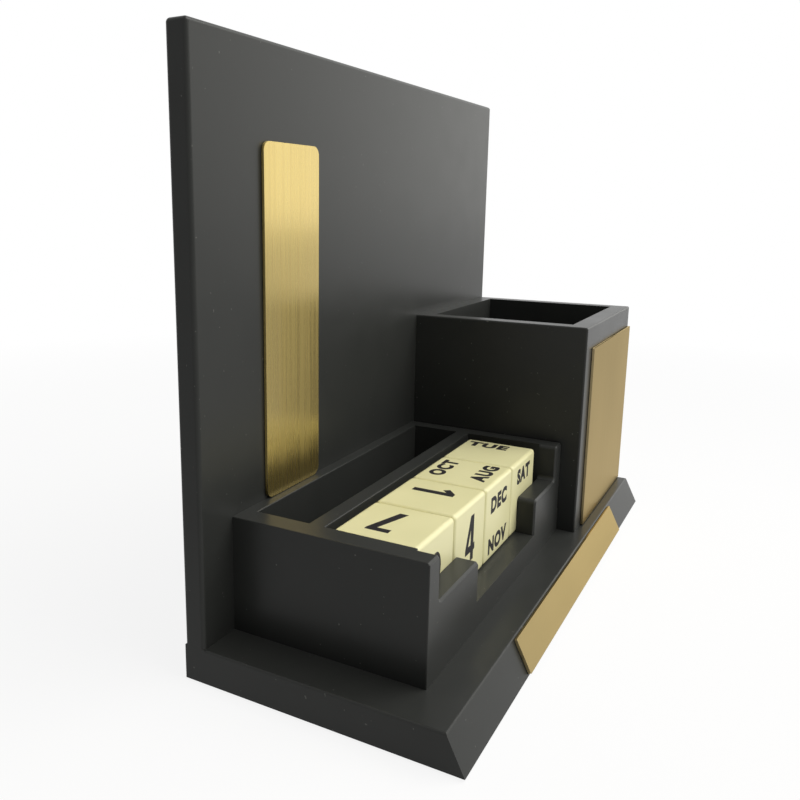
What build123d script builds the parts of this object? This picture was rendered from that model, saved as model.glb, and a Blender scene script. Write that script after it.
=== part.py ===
from build123d import *
import os
from math import hypot

# Desk organizer with calendar cubes. Millimetres, +Z up, front towards -Y, right towards +X.
# The origin is on the desk surface, under the middle of the object's bounding box.

os.makedirs("parts", exist_ok=True)

# Base board, back panel and the felt under the base
width = 248
depth = 98
base_thickness = 12
bevel_run = 6
panel_height = 205
panel_thickness = 8
panel_edge_radius = 1.4
board_edge_radius = 0.8
crisp_edge_radius = 0.4
felt_thickness = 1
felt_inset = 4
felt_corner_radius = 5

# Dowels between the base and the panel, and upright ones under the tray and the pen box
panel_dowel_radius = 3
panel_dowel_length = 24
panel_dowel_depth_in_panel = 5.5
panel_dowel_spacing = 95
panel_dowel_count = 3
upright_dowel_radius = 2
upright_dowel_length = 15
upright_dowel_depth_in_base = 8
tray_dowel_spacing = 96

# Calendar tray, placed from the left end and the front edge of the base
tray_left_margin = 16
tray_length = 143
tray_height = 40.5
tray_wall = 8
tray_front_setback = 19
tray_floor_thickness = 10
shoulder_height = 25
shoulder_thickness = 7.5
tray_corner_radius = 1.8
tray_front_chamfer = 0.7
left_shoulder_length = 34
right_shoulder_length = 28
tray_rear_wall_thickness = 4.5
slot_width = 20.3
divider_thickness = 6

# Calendar cubes
cube_size = 30
cube_gap = 0.2
cube_end_gap = 0.4
cube_front_gap = 0.2
cube_edge_radius = 1.5

# Pen box, which ends flush with the right end of the base
pen_box_height = 91.5
pen_box_wall = 7
pen_box_front_thickness = 8
pen_box_front_setback = 11

# Brass plates and the adhesive sheets under them
plate_thickness = 1
plate_corner_radius = 0.5
adhesive_thickness = 0.2
adhesive_inset = 1.5
strip_width = 34
strip_left_margin = 35
strip_height = 121
strip_gap_over_tray = 0.2
strip_corner_radius = 3.2
pen_plate_left_margin = 10
pen_plate_right_margin = 0.8
pen_plate_top_margin = 10
pen_plate_bottom_margin = 0.4
bevel_plate_left_margin = 58
bevel_plate_length = 143
bevel_plate_margin = 0.5

# Levels
base_bottom = felt_thickness
base_top = base_bottom + base_thickness
panel_top = base_bottom + panel_height
tray_top = base_top + tray_height
tray_floor_top = base_top + tray_floor_thickness
tray_wall_height = tray_top - tray_floor_top
shoulder_top = base_top + shoulder_height
plate_stack = adhesive_thickness + plate_thickness

# The plate on the bevelled front edge stands out past the foot of the bevel by bevel_reach.
bevel_length = hypot(bevel_run, base_thickness)
bevel_reach = (plate_stack * base_thickness - bevel_plate_margin * bevel_run) / bevel_length

# Places along X and Y
left_end = -width / 2
right_end = width / 2
back = (depth + bevel_reach) / 2
front = back - depth
panel_front = back - panel_thickness
tray_left = left_end + tray_left_margin
tray_right = tray_left + tray_length
tray_front = front + tray_front_setback
tray_depth = panel_front - tray_front
tray_inner_left = tray_left + tray_wall
tray_inner_right = tray_right - tray_wall
tray_inner_length = tray_inner_right - tray_inner_left
slot_rear = panel_front - tray_rear_wall_thickness
slot_front = slot_rear - slot_width
channel_rear = slot_front - divider_thickness
channel_front = tray_front + shoulder_thickness
cube_row_middle = channel_front + cube_front_gap + cube_size / 2
tray_wall_depth = panel_front - channel_front
window_left = tray_inner_left + left_shoulder_length
window_right = tray_inner_right - right_shoulder_length
pen_box_left = tray_right
pen_box_front = front + pen_box_front_setback
pen_box_width = right_end - pen_box_left
pen_box_depth = panel_front - pen_box_front
pen_box_side_depth = pen_box_depth - pen_box_front_thickness - pen_box_wall

# ---------------------------------------------------------------------------------------
# Dowels
# ---------------------------------------------------------------------------------------

# The panel's dowels lie along Y, across the joint between the base and the panel.
first_panel_dowel = -panel_dowel_spacing * (panel_dowel_count - 1) / 2
panel_dowel_places = [
    (first_panel_dowel + i * panel_dowel_spacing, 0) for i in range(panel_dowel_count)
]
joint_middle = (0, panel_front + panel_dowel_depth_in_panel, (base_bottom + base_top) / 2)
panel_dowel_plane = Plane(joint_middle, x_dir=(1, 0, 0), z_dir=(0, -1, 0))

with BuildPart() as panel_dowels:
    with BuildSketch(panel_dowel_plane):
        with Locations(*panel_dowel_places):
            Circle(panel_dowel_radius)
    extrude(amount=panel_dowel_length)
panel_dowels.part.label = "panel_dowels"
export_step(panel_dowels.part, "parts/panel_dowels.step")

# Two upright dowels seat the tray by its floor, under the cubes.
upright_dowel_plane = Plane.XY.offset(base_top - upright_dowel_depth_in_base)

with BuildPart() as tray_dowels:
    with BuildSketch(upright_dowel_plane):
        with Locations(((tray_left + tray_right) / 2, cube_row_middle)):
            with GridLocations(tray_dowel_spacing, 0, 2, 1):
                Circle(upright_dowel_radius)
    extrude(amount=upright_dowel_length)
tray_dowels.part.label = "tray_dowels"
export_step(tray_dowels.part, "parts/tray_dowels.step")

# Two more seat the pen box by the middles of its front and rear walls.
pen_box_dowel_front = pen_box_front + pen_box_front_thickness / 2
pen_box_dowel_rear = panel_front - pen_box_wall / 2
pen_box_dowel_x = (pen_box_left + right_end) / 2

with BuildPart() as pen_box_dowels:
    with BuildSketch(upright_dowel_plane):
        with Locations((pen_box_dowel_x, pen_box_dowel_front), (pen_box_dowel_x, pen_box_dowel_rear)):
            Circle(upright_dowel_radius)
    extrude(amount=upright_dowel_length)
pen_box_dowels.part.label = "pen_box_dowels"
export_step(pen_box_dowels.part, "parts/pen_box_dowels.step")

# ---------------------------------------------------------------------------------------
# Base board, felt and back panel
# ---------------------------------------------------------------------------------------

# The base is one section with a bevelled front, drawn on its left end: x is Y and y is Z.
with BuildPart() as base_board:
    with BuildSketch(Plane.YZ.offset(left_end)):
        with BuildLine():
            Polyline(
                (front, base_bottom),
                (panel_front, base_bottom),
                (panel_front, base_top),
                (front + bevel_run, base_top),
                close=True,
            )
        make_face()
    extrude(amount=width)
    top_front_edge = base_board.edges().filter_by(Axis.X).group_by(Axis.Y)[1]
    top_end_edges = base_board.edges().filter_by(Axis.Y).group_by(Axis.Z)[-1]
    fillet(top_front_edge + top_end_edges, radius=board_edge_radius)
    for dowels in (panel_dowels, tray_dowels, pen_box_dowels):
        add(dowels.part, mode=Mode.SUBTRACT)
base_board.part.label = "base_board"
export_step(base_board.part, "parts/base_board.step")

# The felt is what the object stands on.
with BuildPart() as felt_sheet:
    with BuildSketch():
        with Locations((0, (front + back) / 2)):
            RectangleRounded(width - 2 * felt_inset, depth - 2 * felt_inset, felt_corner_radius)
    extrude(amount=felt_thickness)
felt_sheet.part.label = "felt_sheet"
export_step(felt_sheet.part, "parts/felt_sheet.step")

# The panel's edges are eased above the base. Behind the base it is square, so the ends are flush.
with BuildPart() as back_panel:
    with BuildSketch(Plane.XY.offset(base_top)):
        with Locations((0, panel_front)):
            Rectangle(width, panel_thickness, align=(Align.CENTER, Align.MIN))
    extrude(amount=panel_top - base_top)
    upright_edges = back_panel.edges().filter_by(Axis.Z)
    top_edges = back_panel.faces().sort_by(Axis.Z)[-1].edges()
    fillet(upright_edges + top_edges, radius=panel_edge_radius)
    with BuildSketch(Plane.XY.offset(base_bottom)):
        with Locations((0, panel_front)):
            Rectangle(width, panel_thickness, align=(Align.CENTER, Align.MIN))
    extrude(amount=base_thickness)
    add(panel_dowels.part, mode=Mode.SUBTRACT)
back_panel.part.label = "back_panel"
export_step(back_panel.part, "parts/back_panel.step")

# ---------------------------------------------------------------------------------------
# Calendar tray: boards on a floor, with the cube channel, the card slot and a stepped front
# ---------------------------------------------------------------------------------------

# The floor carries every other board of the tray. Its front shows as the lip under the cubes.
with BuildPart() as tray_floor:
    with BuildSketch(Plane.XY.offset(base_top)):
        with Locations((tray_left, tray_front)):
            Rectangle(tray_length, tray_depth, align=(Align.MIN, Align.MIN))
    extrude(amount=tray_floor_thickness)
    left_front_edge = tray_floor.edges().filter_by(Axis.Z).group_by(Axis.Y)[0].sort_by(Axis.X)[0]
    fillet(left_front_edge, radius=crisp_edge_radius)
    add(tray_dowels.part, mode=Mode.SUBTRACT)
tray_floor.part.label = "tray_floor"
export_step(tray_floor.part, "parts/tray_floor.step")

# The end walls run from behind the stepped front to the panel.
with BuildPart() as tray_left_wall:
    with BuildSketch(Plane.YZ.offset(tray_left)):
        with Locations((channel_front, tray_floor_top)):
            Rectangle(tray_wall_depth, tray_wall_height, align=(Align.MIN, Align.MIN))
    extrude(amount=tray_wall)
    outer_top_edge = tray_left_wall.faces().sort_by(Axis.Z)[-1].edges().sort_by(Axis.X)[0]
    fillet(outer_top_edge, radius=crisp_edge_radius)
tray_left_wall.part.label = "tray_left_wall"
export_step(tray_left_wall.part, "parts/tray_left_wall.step")

with BuildPart() as tray_right_wall:
    with BuildSketch(Plane.YZ.offset(tray_inner_right)):
        with Locations((channel_front, tray_floor_top)):
            Rectangle(tray_wall_depth, tray_wall_height, align=(Align.MIN, Align.MIN))
    extrude(amount=tray_wall)
    outer_top_edge = tray_right_wall.faces().sort_by(Axis.Z)[-1].edges().sort_by(Axis.X)[-1]
    fillet(outer_top_edge, radius=tray_corner_radius)
tray_right_wall.part.label = "tray_right_wall"
export_step(tray_right_wall.part, "parts/tray_right_wall.step")

# The rear wall and the divider stand between the end walls, with the card slot between them.
with BuildPart() as tray_rear_wall:
    with BuildSketch(Plane.YZ.offset(tray_inner_left)):
        with Locations((slot_rear, tray_floor_top)):
            Rectangle(tray_rear_wall_thickness, tray_wall_height, align=(Align.MIN, Align.MIN))
    extrude(amount=tray_inner_length)
    front_top_edge = tray_rear_wall.edges().filter_by(Axis.X).group_by(Axis.Z)[-1].sort_by(Axis.Y)[0]
    fillet(front_top_edge, radius=crisp_edge_radius)
tray_rear_wall.part.label = "tray_rear_wall"
export_step(tray_rear_wall.part, "parts/tray_rear_wall.step")

with BuildPart() as tray_divider:
    with BuildSketch(Plane.YZ.offset(tray_inner_left)):
        with Locations((channel_rear, tray_floor_top)):
            Rectangle(divider_thickness, tray_wall_height, align=(Align.MIN, Align.MIN))
    extrude(amount=tray_inner_length)
    top_edges = tray_divider.faces().sort_by(Axis.Z)[-1].edges().filter_by(Axis.X)
    fillet(top_edges, radius=crisp_edge_radius)
tray_divider.part.label = "tray_divider"
export_step(tray_divider.part, "parts/tray_divider.step")

# The stepped front is in two parts. Each has a post at the tray's end, as high as the walls,
# and a lower shoulder beside it. The cubes show between the shoulders, over the floor's lip.
# In these outlines x is X and y is Z. The corners are rounded, but for the tray's left end.
with BuildPart() as tray_left_shoulder:
    with BuildSketch(Plane.XZ.offset(-tray_front)) as left_outline:
        with BuildLine():
            Polyline(
                (tray_left, tray_floor_top),
                (window_left, tray_floor_top),
                (window_left, shoulder_top),
                (tray_inner_left, shoulder_top),
                (tray_inner_left, tray_top),
                (tray_left, tray_top),
                close=True,
            )
        make_face()
        corner_levels = left_outline.vertices().group_by(Axis.Y)
        fillet(corner_levels[1] + corner_levels[2].sort_by(Axis.X)[-1:], radius=tray_corner_radius)
    extrude(amount=-shoulder_thickness)
    front_edges = tray_left_shoulder.faces().sort_by(Axis.Y)[0].edges().sort_by(Axis.Z)
    inner_front_edges = front_edges[1:].filter_by(lambda edge: edge.center().X > tray_left)
    chamfer(inner_front_edges, length=tray_front_chamfer)
    side_edges = tray_left_shoulder.faces().sort_by(Axis.X)[0].edges()
    free_side_edges = side_edges.filter_by(
        lambda edge: edge.center().Z > tray_floor_top and edge.center().Y < channel_front
    )
    fillet(free_side_edges, radius=crisp_edge_radius)
tray_left_shoulder.part.label = "tray_left_shoulder"
export_step(tray_left_shoulder.part, "parts/tray_left_shoulder.step")

with BuildPart() as tray_right_shoulder:
    with BuildSketch(Plane.XZ.offset(-tray_front)) as right_outline:
        with BuildLine():
            Polyline(
                (tray_right, tray_floor_top),
                (window_right, tray_floor_top),
                (window_right, shoulder_top),
                (tray_inner_right, shoulder_top),
                (tray_inner_right, tray_top),
                (tray_right, tray_top),
                close=True,
            )
        make_face()
        corner_levels = right_outline.vertices().group_by(Axis.Y)
        fillet(corner_levels[1] + corner_levels[2], radius=tray_corner_radius)
    extrude(amount=-shoulder_thickness)
    front_edges = tray_right_shoulder.faces().sort_by(Axis.Y)[0].edges().sort_by(Axis.Z)
    chamfer(front_edges[1:], length=tray_front_chamfer)
tray_right_shoulder.part.label = "tray_right_shoulder"
export_step(tray_right_shoulder.part, "parts/tray_right_shoulder.step")

# ---------------------------------------------------------------------------------------
# Pen box: four walls on the base, open at the top
# ---------------------------------------------------------------------------------------

with BuildPart() as pen_box_front_wall:
    with BuildSketch(Plane.XZ.offset(-pen_box_front)):
        with Locations((pen_box_left, base_top)):
            Rectangle(pen_box_width, pen_box_height, align=(Align.MIN, Align.MIN))
    extrude(amount=-pen_box_front_thickness)
    front_edges = pen_box_front_wall.faces().sort_by(Axis.Y)[0].edges()
    top_end_edges = pen_box_front_wall.edges().filter_by(Axis.Y).group_by(Axis.Z)[-1]
    upper_front_edges = front_edges.filter_by(Axis.Z) + front_edges.sort_by(Axis.Z)[-1:]
    fillet(upper_front_edges + top_end_edges, radius=board_edge_radius)
    add(pen_box_dowels.part, mode=Mode.SUBTRACT)
pen_box_front_wall.part.label = "pen_box_front_wall"
export_step(pen_box_front_wall.part, "parts/pen_box_front_wall.step")

with BuildPart() as pen_box_rear_wall:
    with BuildSketch(Plane.XZ.offset(-panel_front)):
        with Locations((pen_box_left, base_top)):
            Rectangle(pen_box_width, pen_box_height, align=(Align.MIN, Align.MIN))
    extrude(amount=pen_box_wall)
    top_end_edges = pen_box_rear_wall.edges().filter_by(Axis.Y).group_by(Axis.Z)[-1]
    fillet(top_end_edges, radius=board_edge_radius)
    add(pen_box_dowels.part, mode=Mode.SUBTRACT)
pen_box_rear_wall.part.label = "pen_box_rear_wall"
export_step(pen_box_rear_wall.part, "parts/pen_box_rear_wall.step")

with BuildPart() as pen_box_left_wall:
    with BuildSketch(Plane.YZ.offset(pen_box_left)):
        with Locations((pen_box_front + pen_box_front_thickness, base_top)):
            Rectangle(pen_box_side_depth, pen_box_height, align=(Align.MIN, Align.MIN))
    extrude(amount=pen_box_wall)
    outer_top_edge = pen_box_left_wall.faces().sort_by(Axis.X)[0].edges().sort_by(Axis.Z)[-1]
    fillet(outer_top_edge, radius=board_edge_radius)
pen_box_left_wall.part.label = "pen_box_left_wall"
export_step(pen_box_left_wall.part, "parts/pen_box_left_wall.step")

with BuildPart() as pen_box_right_wall:
    with BuildSketch(Plane.YZ.offset(right_end)):
        with Locations((pen_box_front + pen_box_front_thickness, base_top)):
            Rectangle(pen_box_side_depth, pen_box_height, align=(Align.MIN, Align.MIN))
    extrude(amount=-pen_box_wall)
    outer_top_edge = pen_box_right_wall.faces().sort_by(Axis.X)[-1].edges().sort_by(Axis.Z)[-1]
    fillet(outer_top_edge, radius=board_edge_radius)
pen_box_right_wall.part.label = "pen_box_right_wall"
export_step(pen_box_right_wall.part, "parts/pen_box_right_wall.step")

# ---------------------------------------------------------------------------------------
# Brass plates, each on its own adhesive sheet
# ---------------------------------------------------------------------------------------

strip_bottom = tray_top + strip_gap_over_tray
strip_middle = (left_end + strip_left_margin + strip_width / 2, strip_bottom + strip_height / 2)

with BuildPart() as panel_strip_adhesive:
    with BuildSketch(Plane.XZ.offset(-panel_front)):
        with Locations(strip_middle):
            Rectangle(strip_width - 2 * adhesive_inset, strip_height - 2 * adhesive_inset)
    extrude(amount=adhesive_thickness)
panel_strip_adhesive.part.label = "panel_strip_adhesive"
export_step(panel_strip_adhesive.part, "parts/panel_strip_adhesive.step")

with BuildPart() as panel_strip:
    with BuildSketch(Plane.XZ.offset(-panel_front + adhesive_thickness)):
        with Locations(strip_middle):
            RectangleRounded(strip_width, strip_height, strip_corner_radius)
    extrude(amount=plate_thickness)
panel_strip.part.label = "panel_strip"
export_step(panel_strip.part, "parts/panel_strip.step")

pen_plate_left = pen_box_left + pen_plate_left_margin
pen_plate_width = right_end - pen_plate_right_margin - pen_plate_left
pen_plate_bottom = base_top + pen_plate_bottom_margin
pen_plate_height = pen_box_height - pen_plate_top_margin - pen_plate_bottom_margin
pen_plate_middle = (
    pen_plate_left + pen_plate_width / 2,
    pen_plate_bottom + pen_plate_height / 2,
)

with BuildPart() as pen_box_plate_adhesive:
    with BuildSketch(Plane.XZ.offset(-pen_box_front)):
        with Locations(pen_plate_middle):
            Rectangle(pen_plate_width - 2 * adhesive_inset, pen_plate_height - 2 * adhesive_inset)
    extrude(amount=adhesive_thickness)
pen_box_plate_adhesive.part.label = "pen_box_plate_adhesive"
export_step(pen_box_plate_adhesive.part, "parts/pen_box_plate_adhesive.step")

with BuildPart() as pen_box_plate:
    with BuildSketch(Plane.XZ.offset(-pen_box_front + adhesive_thickness)):
        with Locations(pen_plate_middle):
            RectangleRounded(pen_plate_width, pen_plate_height, plate_corner_radius)
    extrude(amount=plate_thickness)
pen_box_plate.part.label = "pen_box_plate"
export_step(pen_box_plate.part, "parts/pen_box_plate.step")

# On the bevel's plane, local x runs along +X and local y runs up the slope.
bevel_plane = Plane(
    (left_end, front, base_bottom),
    x_dir=(1, 0, 0),
    z_dir=(0, -base_thickness, bevel_run),
)
bevel_plate_middle = (bevel_plate_left_margin + bevel_plate_length / 2, bevel_length / 2)
bevel_plate_height = bevel_length - 2 * bevel_plate_margin

with BuildPart() as bevel_plate_adhesive:
    with BuildSketch(bevel_plane):
        with Locations(bevel_plate_middle):
            Rectangle(bevel_plate_length - 2 * adhesive_inset, bevel_plate_height - 2 * adhesive_inset)
    extrude(amount=adhesive_thickness)
bevel_plate_adhesive.part.label = "bevel_plate_adhesive"
export_step(bevel_plate_adhesive.part, "parts/bevel_plate_adhesive.step")

with BuildPart() as bevel_plate:
    with BuildSketch(bevel_plane.offset(adhesive_thickness)):
        with Locations(bevel_plate_middle):
            RectangleRounded(bevel_plate_length, bevel_plate_height, plate_corner_radius)
    extrude(amount=plate_thickness)
bevel_plate.part.label = "bevel_plate"
export_step(bevel_plate.part, "parts/bevel_plate.step")

# ---------------------------------------------------------------------------------------
# Calendar cubes, from left to right
# ---------------------------------------------------------------------------------------

cube_names = ["digit_cube_left", "digit_cube_right", "month_cube", "weekday_cube"]
cube_pitch = cube_size + cube_gap
first_cube_middle = tray_inner_left + cube_end_gap + cube_size / 2

for cube_index, cube_name in enumerate(cube_names):
    cube_middle = first_cube_middle + cube_index * cube_pitch
    with BuildPart() as cube:
        with BuildSketch(Plane.XY.offset(tray_floor_top)):
            with Locations((cube_middle, cube_row_middle)):
                Rectangle(cube_size, cube_size)
        extrude(amount=cube_size)
        fillet(cube.edges(), radius=cube_edge_radius)
    cube.part.label = cube_name
    export_step(cube.part, f"parts/{cube_name}.step")
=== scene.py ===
from math import cos, radians, sin

import bpy
from mathutils import Matrix, Vector


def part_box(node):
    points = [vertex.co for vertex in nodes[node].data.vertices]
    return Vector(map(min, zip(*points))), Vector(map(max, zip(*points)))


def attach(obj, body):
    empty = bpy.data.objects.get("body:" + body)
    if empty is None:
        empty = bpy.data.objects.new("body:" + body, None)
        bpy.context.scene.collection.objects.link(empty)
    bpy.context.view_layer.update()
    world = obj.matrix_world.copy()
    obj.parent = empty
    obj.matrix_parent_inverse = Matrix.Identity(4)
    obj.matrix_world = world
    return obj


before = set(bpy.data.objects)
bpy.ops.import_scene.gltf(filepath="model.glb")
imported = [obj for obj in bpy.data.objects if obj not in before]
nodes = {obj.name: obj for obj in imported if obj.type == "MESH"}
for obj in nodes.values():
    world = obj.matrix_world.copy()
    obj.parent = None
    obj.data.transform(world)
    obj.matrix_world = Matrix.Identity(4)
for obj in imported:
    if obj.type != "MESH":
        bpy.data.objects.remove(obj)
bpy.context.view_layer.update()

mm = 0.001
scene = bpy.context.scene

# ---------------------------------------------------------------------------------------
# Camera, placed by the photograph's straight edges
# ---------------------------------------------------------------------------------------

picture_size = 800
camera_place = Vector((-310.85, -115.10, 154.91)) * mm
camera_yaw = radians(60.35)
camera_pitch = radians(11.64)
camera_roll = radians(0.40)
focal_pixels = 814.0
centre_pixel = (341.1, 371.7)
sensor_width = 36.0


def make_camera():
    """The camera looks along the yaw, measured from +Y towards +X, and down by the pitch."""
    forward = Vector((
        sin(camera_yaw) * cos(camera_pitch),
        cos(camera_yaw) * cos(camera_pitch),
        -sin(camera_pitch),
    ))
    level_right = forward.cross(Vector((0, 0, 1))).normalized()
    level_up = level_right.cross(forward)
    right = level_right * cos(camera_roll) + level_up * sin(camera_roll)
    up = level_up * cos(camera_roll) - level_right * sin(camera_roll)
    data = bpy.data.cameras.new("camera")
    data.sensor_width = sensor_width
    data.lens = focal_pixels * sensor_width / picture_size
    data.shift_x = (picture_size / 2 - centre_pixel[0]) / picture_size
    data.shift_y = (centre_pixel[1] - picture_size / 2) / picture_size
    data.clip_start = 0.01
    camera = bpy.data.objects.new("camera", data)
    camera.matrix_world = Matrix((
        (right.x, up.x, -forward.x, camera_place.x),
        (right.y, up.y, -forward.y, camera_place.y),
        (right.z, up.z, -forward.z, camera_place.z),
        (0, 0, 0, 1),
    ))
    scene.collection.objects.link(camera)
    scene.camera = camera


make_camera()

# ---------------------------------------------------------------------------------------
# Materials
# ---------------------------------------------------------------------------------------


class Shader:
    """A node material with one Principled BSDF, and short calls for the nodes that feed it."""

    def __init__(self, name):
        self.material = bpy.data.materials.new(name)
        self.material.use_nodes = True
        self.tree = self.material.node_tree
        self.surface = self.tree.nodes["Principled BSDF"]
        self.coordinates = self.tree.nodes.new("ShaderNodeTexCoord").outputs["Object"]

    def link(self, output, node, socket):
        self.tree.links.new(output, node.inputs[socket])

    def set(self, **values):
        for socket, value in values.items():
            self.surface.inputs[socket.replace("_", " ")].default_value = value

    def noise(self, scale, detail=2.0, roughness=0.5, stretch=(1, 1, 1)):
        """Noise in object space. The scale is in features per metre."""
        mapping = self.tree.nodes.new("ShaderNodeMapping")
        mapping.inputs["Scale"].default_value = stretch
        self.link(self.coordinates, mapping, "Vector")
        node = self.tree.nodes.new("ShaderNodeTexNoise")
        node.inputs["Scale"].default_value = scale
        node.inputs["Detail"].default_value = detail
        node.inputs["Roughness"].default_value = roughness
        self.link(mapping.outputs["Vector"], node, "Vector")
        return node.outputs["Fac"]

    def remap(self, value, low, high, to_low=0.0, to_high=1.0):
        node = self.tree.nodes.new("ShaderNodeMapRange")
        node.inputs["From Min"].default_value = low
        node.inputs["From Max"].default_value = high
        node.inputs["To Min"].default_value = to_low
        node.inputs["To Max"].default_value = to_high
        self.link(value, node, "Value")
        return node.outputs["Result"]

    def mix(self, factor, first, second):
        """A colour between two. Each is an (r, g, b) or another node's output."""
        node = self.tree.nodes.new("ShaderNodeMix")
        node.data_type = "RGBA"
        self.link(factor, node, 0)
        for socket, colour in ((6, first), (7, second)):
            if isinstance(colour, tuple):
                node.inputs[socket].default_value = (*colour, 1)
            else:
                self.link(colour, node, socket)
        return node.outputs[2]

    def bump(self, height, distance, strength=1.0):
        node = self.tree.nodes.new("ShaderNodeBump")
        node.inputs["Strength"].default_value = strength
        node.inputs["Distance"].default_value = distance
        self.link(height, node, "Height")
        self.link(node.outputs["Normal"], self.surface, "Normal")

    def tangent(self, axis):
        node = self.tree.nodes.new("ShaderNodeTangent")
        node.direction_type = "RADIAL"
        node.axis = axis
        self.link(node.outputs["Tangent"], self.surface, "Tangent")


def make_lacquer():
    """Satin black paint with a faint mottle and a few dust specks."""
    shader = Shader("black_lacquer")
    mottle = shader.noise(70, detail=4)
    specks = shader.noise(900, detail=0)
    speck_mask = shader.remap(specks, 0.845, 0.88)
    paint = shader.mix(mottle, (0.024, 0.0253, 0.0240), (0.030, 0.0313, 0.0295))
    shader.link(shader.mix(speck_mask, paint, (0.09, 0.09, 0.085)), shader.surface, "Base Color")
    shader.link(shader.remap(mottle, 0.2, 0.8, 0.30, 0.36), shader.surface, "Roughness")
    shader.set(Specular_IOR_Level=0.17)
    shader.bump(shader.noise(700, detail=2), 0.00001, 0.3)
    return shader.material


def shade(colour, factor):
    return tuple(channel * factor for channel in colour)


def make_brass(name, colour, edge_tint, metal, coat, contrast, stretch, along, roughness):
    """Brushed brass, with broad random clouds of painted reflection shade. The stretch is the brush
    lines' number per metre, which is low along the axis that the lines follow."""
    shader = Shader(name)
    lines = shader.noise(1, detail=5, roughness=0.7, stretch=stretch)
    dark, light = shade(colour, 1 - contrast), shade(colour, 1 + contrast)
    tone = shader.mix(shader.remap(lines, 0.3, 0.7), dark, light)
    # Painted reflection shade: broad random clouds darken the brass a little, standing in for dim
    # patches in its reflections.
    dim_reflection_cloud = shader.remap(shader.noise(14, detail=1), 0.35, 0.65)
    shader.link(shader.mix(dim_reflection_cloud, shade(colour, painted_reflection_dimming), tone), shader.surface, "Base Color")
    shader.link(shader.remap(lines, 0.3, 0.7, *roughness), shader.surface, "Roughness")
    shader.set(Metallic=metal, Anisotropic=0.9, Specular_Tint=(*edge_tint, 1))
    shader.set(Coat_Weight=coat, Coat_Roughness=0.05)
    shader.tangent(along)
    shader.bump(lines, 0.000004, 0.4)
    return shader.material


def make_cream():
    """Smooth cream paint on the cubes, a little mottled."""
    shader = Shader("cream_paint")
    mottle = shader.noise(60, detail=3)
    tone = shader.mix(mottle, (0.69, 0.66, 0.37), (0.75, 0.715, 0.42))
    shader.link(tone, shader.surface, "Base Color")
    shader.link(shader.remap(mottle, 0.2, 0.8, 0.28, 0.38), shader.surface, "Roughness")
    shader.bump(shader.noise(500, detail=2), 0.00002, 0.3)
    return shader.material


def make_print():
    """Black printing ink, a little uneven."""
    shader = Shader("black_print")
    unevenness = shader.noise(700, detail=3)
    tone = shader.mix(unevenness, (0.008, 0.007, 0.008), (0.022, 0.020, 0.022))
    shader.link(tone, shader.surface, "Base Color")
    shader.link(shader.remap(unevenness, 0.2, 0.8, 0.45, 0.60), shader.surface, "Roughness")
    shader.set(Specular_IOR_Level=0.15)
    return shader.material


def make_plain(name, first, second, scale, roughness, stretch=(1, 1, 1)):
    """A matt material mottled between two colours, for the hidden pieces."""
    shader = Shader(name)
    mottle = shader.noise(scale, detail=4, stretch=stretch)
    shader.link(shader.mix(mottle, first, second), shader.surface, "Base Color")
    shader.set(Roughness=roughness)
    shader.bump(mottle, 0.00005, 0.5)
    return shader.material


# How far the painted reflection shade darkens the brass inside its clouds.
painted_reflection_dimming = 0.88
broad_brush = (750, 750, 8)
fine_brush = (1500, 1500, 14)
level_brush = (14, 1500, 1500)
no_tint = (1, 1, 1)
dull_tint = (0.85, 0.75, 0.56)

lacquer = make_lacquer()
strip_brass = make_brass(
    "strip_brass", colour=(0.51, 0.392, 0.135), edge_tint=no_tint, metal=0.84, coat=0.12,
    contrast=0.15, stretch=broad_brush, along="Z", roughness=(0.20, 0.34),
)
plate_brass = make_brass(
    "plate_brass", colour=(0.44, 0.35, 0.19), edge_tint=dull_tint, metal=1, coat=0,
    contrast=0.02, stretch=fine_brush, along="Z", roughness=(0.28, 0.34),
)
# The bevel plate is the same satin brass as the pen box's plate. Its darker colour is painted shade.
shaded_bevel_brass = make_brass(
    "shaded_bevel_brass", colour=(0.36, 0.285, 0.145), edge_tint=dull_tint, metal=1, coat=0,
    contrast=0.02, stretch=level_brush, along="X", roughness=(0.28, 0.34),
)
cream = make_cream()
ink = make_print()
dowel_wood = make_plain("beech", (0.60, 0.44, 0.27), (0.72, 0.55, 0.36), 300, 0.6)
felt = make_plain("felt", (0.012, 0.012, 0.013), (0.035, 0.035, 0.037), 2500, 0.95)
adhesive = make_plain("adhesive", (0.010, 0.009, 0.008), (0.022, 0.020, 0.018), 800, 0.8)

node_materials = {
    "panel_strip": strip_brass,
    "pen_box_plate": plate_brass,
    "bevel_plate": shaded_bevel_brass,
    "felt_sheet": felt,
}
for name, node in nodes.items():
    material = node_materials.get(name, lacquer)
    if name.endswith("_adhesive"):
        material = adhesive
    if name.endswith("_dowels"):
        material = dowel_wood
    if name.endswith("_cube") or name.startswith("digit_cube"):
        material = cream
    for slot in node.material_slots:
        slot.material = material

# The sharp edges of these pieces are rounded a little. Their meshes come in split there, so they
# are welded first.
weld_distance = 0.01 * mm
edge_round = 0.3 * mm
for name in ("panel_strip", "pen_box_plate", "bevel_plate", "back_panel"):
    weld = nodes[name].modifiers.new("weld", "WELD")
    weld.merge_threshold = weld_distance
    bevel = nodes[name].modifiers.new("rounded_edges", "BEVEL")
    bevel.width = edge_round
    bevel.segments = 3

# ---------------------------------------------------------------------------------------
# Printing on the cubes
# ---------------------------------------------------------------------------------------

digit_height = 17 * mm
digit_width = 9 * mm
word_height = 6.5 * mm
word_stretch = 1.08
ink_thickness = 0.03 * mm

# These are in units of the built-in letters' size, before a word is scaled to its place. A bold
# outline would close the notches of some letters, so words with those stay thinner.
boldness = 0.06
notched_letters = set("MW")
letter_spacing = 1.15
letter_thickness = 0.5

left, right = Vector((-1, 0, 0)), Vector((1, 0, 0))
towards_front, towards_back = Vector((0, -1, 0)), Vector((0, 1, 0))
down, up = Vector((0, 0, -1)), Vector((0, 0, 1))

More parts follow.
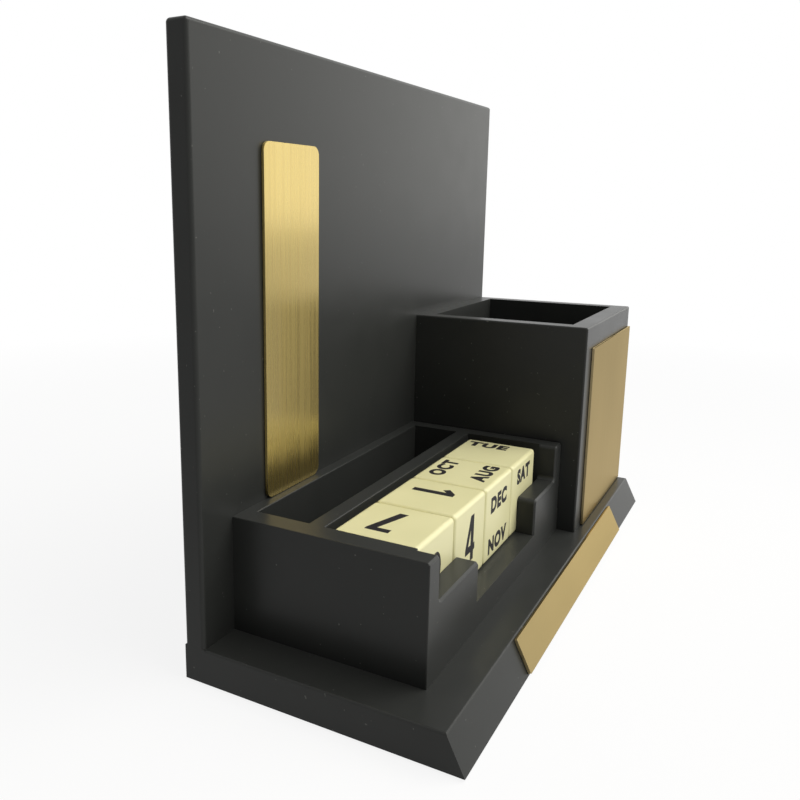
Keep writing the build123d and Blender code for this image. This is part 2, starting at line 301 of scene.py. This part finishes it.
# Three digits are drawn by their outlines, in millimetres about their centre, for their straight
# heavy strokes. A second outline is a hole. The others are scaled from the built-in letters.
drawn_digits = {
    "1": [[(-1.0, 8), (1.6, 8), (1.6, -8), (-1.4, -8), (-1.4, 4.4), (-3.3, 2.4), (-4.8, 4.6)]],
    "4": [
        [
            (0.2, 8.5), (3.4, 8.5), (3.4, -2.5), (4.6, -2.5), (4.6, -5.1), (3.4, -5.1),
            (3.4, -8.5), (0.5, -8.5), (0.5, -5.1), (-4.5, -5.1), (-4.5, -2.9),
        ],
        [(0.5, 3.2), (-1.7, -2.5), (0.5, -2.5)],
    ],
    "7": [[(-4.2, 8.6), (4.3, 8.6), (4.3, 6.9), (-0.4, -8.6), (-3.6, -8.6), (0.9, 5.9), (-4.2, 5.9)]],
}


def outline_curve(outlines):
    curve = bpy.data.curves.new("outline", "CURVE")
    curve.dimensions = "2D"
    curve.fill_mode = "BOTH"
    for points in outlines:
        spline = curve.splines.new("POLY")
        spline.points.add(len(points) - 1)
        for point, (x, y) in zip(spline.points, points):
            point.co = (x * mm, y * mm, 0, 1)
        spline.use_cyclic_u = True
    curve.extrude = ink_thickness / 2
    return curve


def letter_curve(text):
    curve = bpy.data.curves.new("letters", "FONT")
    curve.body = text
    curve.offset = 0 if set(text) & notched_letters else boldness
    curve.space_character = letter_spacing
    curve.extrude = letter_thickness
    curve.resolution_u = 6
    return curve


def flat_mesh(text):
    """A flat digit or word, centred on the origin."""
    drawn = text in drawn_digits
    curve = outline_curve(drawn_digits[text]) if drawn else letter_curve(text)
    letters = bpy.data.objects.new("letters", curve)
    scene.collection.objects.link(letters)
    bpy.context.view_layer.update()
    mesh = bpy.data.meshes.new_from_object(letters)
    bpy.data.objects.remove(letters)
    if drawn:
        return mesh
    corners = [vertex.co for vertex in mesh.vertices]
    low = Vector(min(corner[axis] for corner in corners) for axis in range(3))
    high = Vector(max(corner[axis] for corner in corners) for axis in range(3))
    size = high - low
    if text.isdigit():
        width, height = digit_width, digit_height
    else:
        width, height = word_height * word_stretch * size.x / size.y, word_height
    mesh.transform(Matrix.Translation(-(low + high) / 2))
    mesh.transform(Matrix.Diagonal((width / size.x, height / size.y, ink_thickness, 1)))
    return mesh


def print_mesh(cube_name, text, normal, top, rise=0.0, shift=0.0):
    """Text on the face that has this normal. Its letters' tops point along top."""
    low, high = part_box(cube_name)
    middle = (low + high) / 2
    across = top.cross(normal)
    half = (high.x - low.x) / 2
    place = middle + normal * half + top * rise * mm + across * shift * mm
    mesh = flat_mesh(text)
    mesh.transform(Matrix((
        (across.x, top.x, normal.x, place.x),
        (across.y, top.y, normal.y, place.y),
        (across.z, top.z, normal.z, place.z),
        (0, 0, 0, 1),
    )))
    mesh.materials.clear()
    mesh.materials.append(ink)
    return mesh


def add_print(cube_name, faces):
    """Joins what is printed on a cube into one piece, which rides on the cube."""
    meshes = [print_mesh(cube_name, *face) for face in faces]
    pieces = [bpy.data.objects.new(cube_name + "_print", mesh) for mesh in meshes]
    for piece in pieces:
        scene.collection.objects.link(piece)
    with bpy.context.temp_override(active_object=pieces[0], selected_editable_objects=pieces):
        bpy.ops.object.join()
    pieces[0].name = cube_name + "_print"
    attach(pieces[0], cube_name)


# Each line has the text, the face's normal, where the letters' tops point, and in millimetres
# how far the text is from the middle of the face, along its tops and to its right.
add_print("digit_cube_left", [
    ("7", up, left, 0, 2.5),
    ("2", towards_front, up),
    ("0", left, towards_front),
    ("8", right, up),
    ("6", towards_back, down),
    ("1", down, right),
])
add_print("digit_cube_right", [
    ("1", up, towards_front, -1, -3.7),
    ("4", towards_front, up, 1.6),
    ("0", left, up),
    ("5", right, towards_back),
    ("2", towards_back, up),
    ("3", down, left),
])
add_print("month_cube", [
    ("OCT", up, towards_back, 8.6, 1.5),
    ("AUG", up, towards_back, -7.9, 2.5),
    ("DEC", towards_front, up, 6.7),
    ("NOV", towards_front, up, -9.3),
    ("JAN", left, up, 8),
    ("JUN", left, up, -8),
    ("FEB", right, up, 8),
    ("JUL", right, up, -8),
    ("APR", towards_back, up, 8),
    ("SEP", towards_back, up, -8),
    ("MAY", down, towards_back, 8),
    ("MAR", down, towards_back, -8),
])
add_print("weekday_cube", [
    ("TUE", up, right, 8.6, -3.6),
    ("SAT", towards_front, up, 8.6),
    ("SUN", left, up),
    ("MON", right, up),
    ("FRI", towards_back, down),
    ("WED", down, towards_back, 8),
    ("THU", down, towards_back, -8),
])

# ---------------------------------------------------------------------------------------
# Floor, world and lamps
# ---------------------------------------------------------------------------------------

floor_size = 12.0
floor_reach = (0.2, 0.7)
floor_glow = (0.88, 1.0)
floor_colour = (0.80, 0.30)


def sees_background(tree):
    """1 for camera, glossy and transmission rays, and 0 for the rest."""
    light_path = tree.nodes.new("ShaderNodeLightPath")
    total = light_path.outputs["Is Camera Ray"]
    for output in ("Is Glossy Ray", "Is Transmission Ray"):
        largest = tree.nodes.new("ShaderNodeMath")
        largest.operation = "MAXIMUM"
        tree.links.new(total, largest.inputs[0])
        tree.links.new(light_path.outputs[output], largest.inputs[1])
        total = largest.outputs[0]
    return total


def fade(tree, distance, ends):
    """A value that goes from one end near the object to the other away from it."""
    node = tree.nodes.new("ShaderNodeMapRange")
    node.inputs["From Min"].default_value, node.inputs["From Max"].default_value = floor_reach
    node.inputs["To Min"].default_value, node.inputs["To Max"].default_value = ends
    tree.links.new(distance, node.inputs["Value"])
    return node.outputs["Result"]


def make_floor():
    """A pale floor. It shows shadows near the object and is plain white away from it."""
    material = bpy.data.materials.new("floor")
    material.use_nodes = True
    tree = material.node_tree
    tree.nodes.clear()
    output = tree.nodes.new("ShaderNodeOutputMaterial")
    coordinates = tree.nodes.new("ShaderNodeTexCoord")
    distance = tree.nodes.new("ShaderNodeVectorMath")
    distance.operation = "LENGTH"
    tree.links.new(coordinates.outputs["Object"], distance.inputs[0])
    pale = tree.nodes.new("ShaderNodeBsdfDiffuse")
    tree.links.new(fade(tree, distance.outputs["Value"], floor_colour), pale.inputs["Color"])
    glow = tree.nodes.new("ShaderNodeEmission")
    share = tree.nodes.new("ShaderNodeMath")
    share.operation = "MULTIPLY"
    tree.links.new(sees_background(tree), share.inputs[0])
    tree.links.new(fade(tree, distance.outputs["Value"], floor_glow), share.inputs[1])
    blend = tree.nodes.new("ShaderNodeMixShader")
    tree.links.new(share.outputs[0], blend.inputs[0])
    tree.links.new(pale.outputs[0], blend.inputs[1])
    tree.links.new(glow.outputs[0], blend.inputs[2])
    tree.links.new(blend.outputs[0], output.inputs["Surface"])
    half = floor_size / 2
    mesh = bpy.data.meshes.new("floor")
    corners = [(-half, -half, 0), (half, -half, 0), (half, half, 0), (-half, half, 0)]
    mesh.from_pydata(corners, [], [(0, 1, 2, 3)])
    mesh.materials.append(material)
    floor = bpy.data.objects.new("floor", mesh)
    scene.collection.objects.link(floor)


def make_world(ambient):
    world = bpy.data.worlds.new("world")
    scene.world = world
    world.use_nodes = True
    tree = world.node_tree
    background = tree.nodes["Background"]
    strength = tree.nodes.new("ShaderNodeMapRange")
    strength.inputs["To Min"].default_value = ambient
    strength.inputs["To Max"].default_value = 1.0
    tree.links.new(sees_background(tree), strength.inputs["Value"])
    tree.links.new(strength.outputs["Result"], background.inputs["Strength"])
    background.inputs["Color"].default_value = (1, 1, 1, 1)


def make_lamp(name, place, aim, size, power, colour):
    data = bpy.data.lights.new(name, "AREA")
    data.shape = "RECTANGLE"
    data.size, data.size_y = size
    data.energy = power
    data.color = colour
    lamp = bpy.data.objects.new(name, data)
    lamp.location = place
    lamp.rotation_euler = (Vector(aim) - Vector(place)).to_track_quat("-Z", "Y").to_euler()
    scene.collection.objects.link(lamp)


make_floor()
make_world(ambient=0.14)
make_lamp(
    "window", place=(1.7, -1.35, 0.95), aim=(0, 0, 0.08), size=(2.6, 1.9),
    power=18, colour=(1.0, 0.99, 0.94),
)
make_lamp(
    "key", place=(0.25, -0.75, 1.25), aim=(0, 0, 0.05), size=(1.5, 1.2),
    power=27, colour=(1.0, 0.985, 0.94),
)
scene.view_settings.view_transform = "Standard"
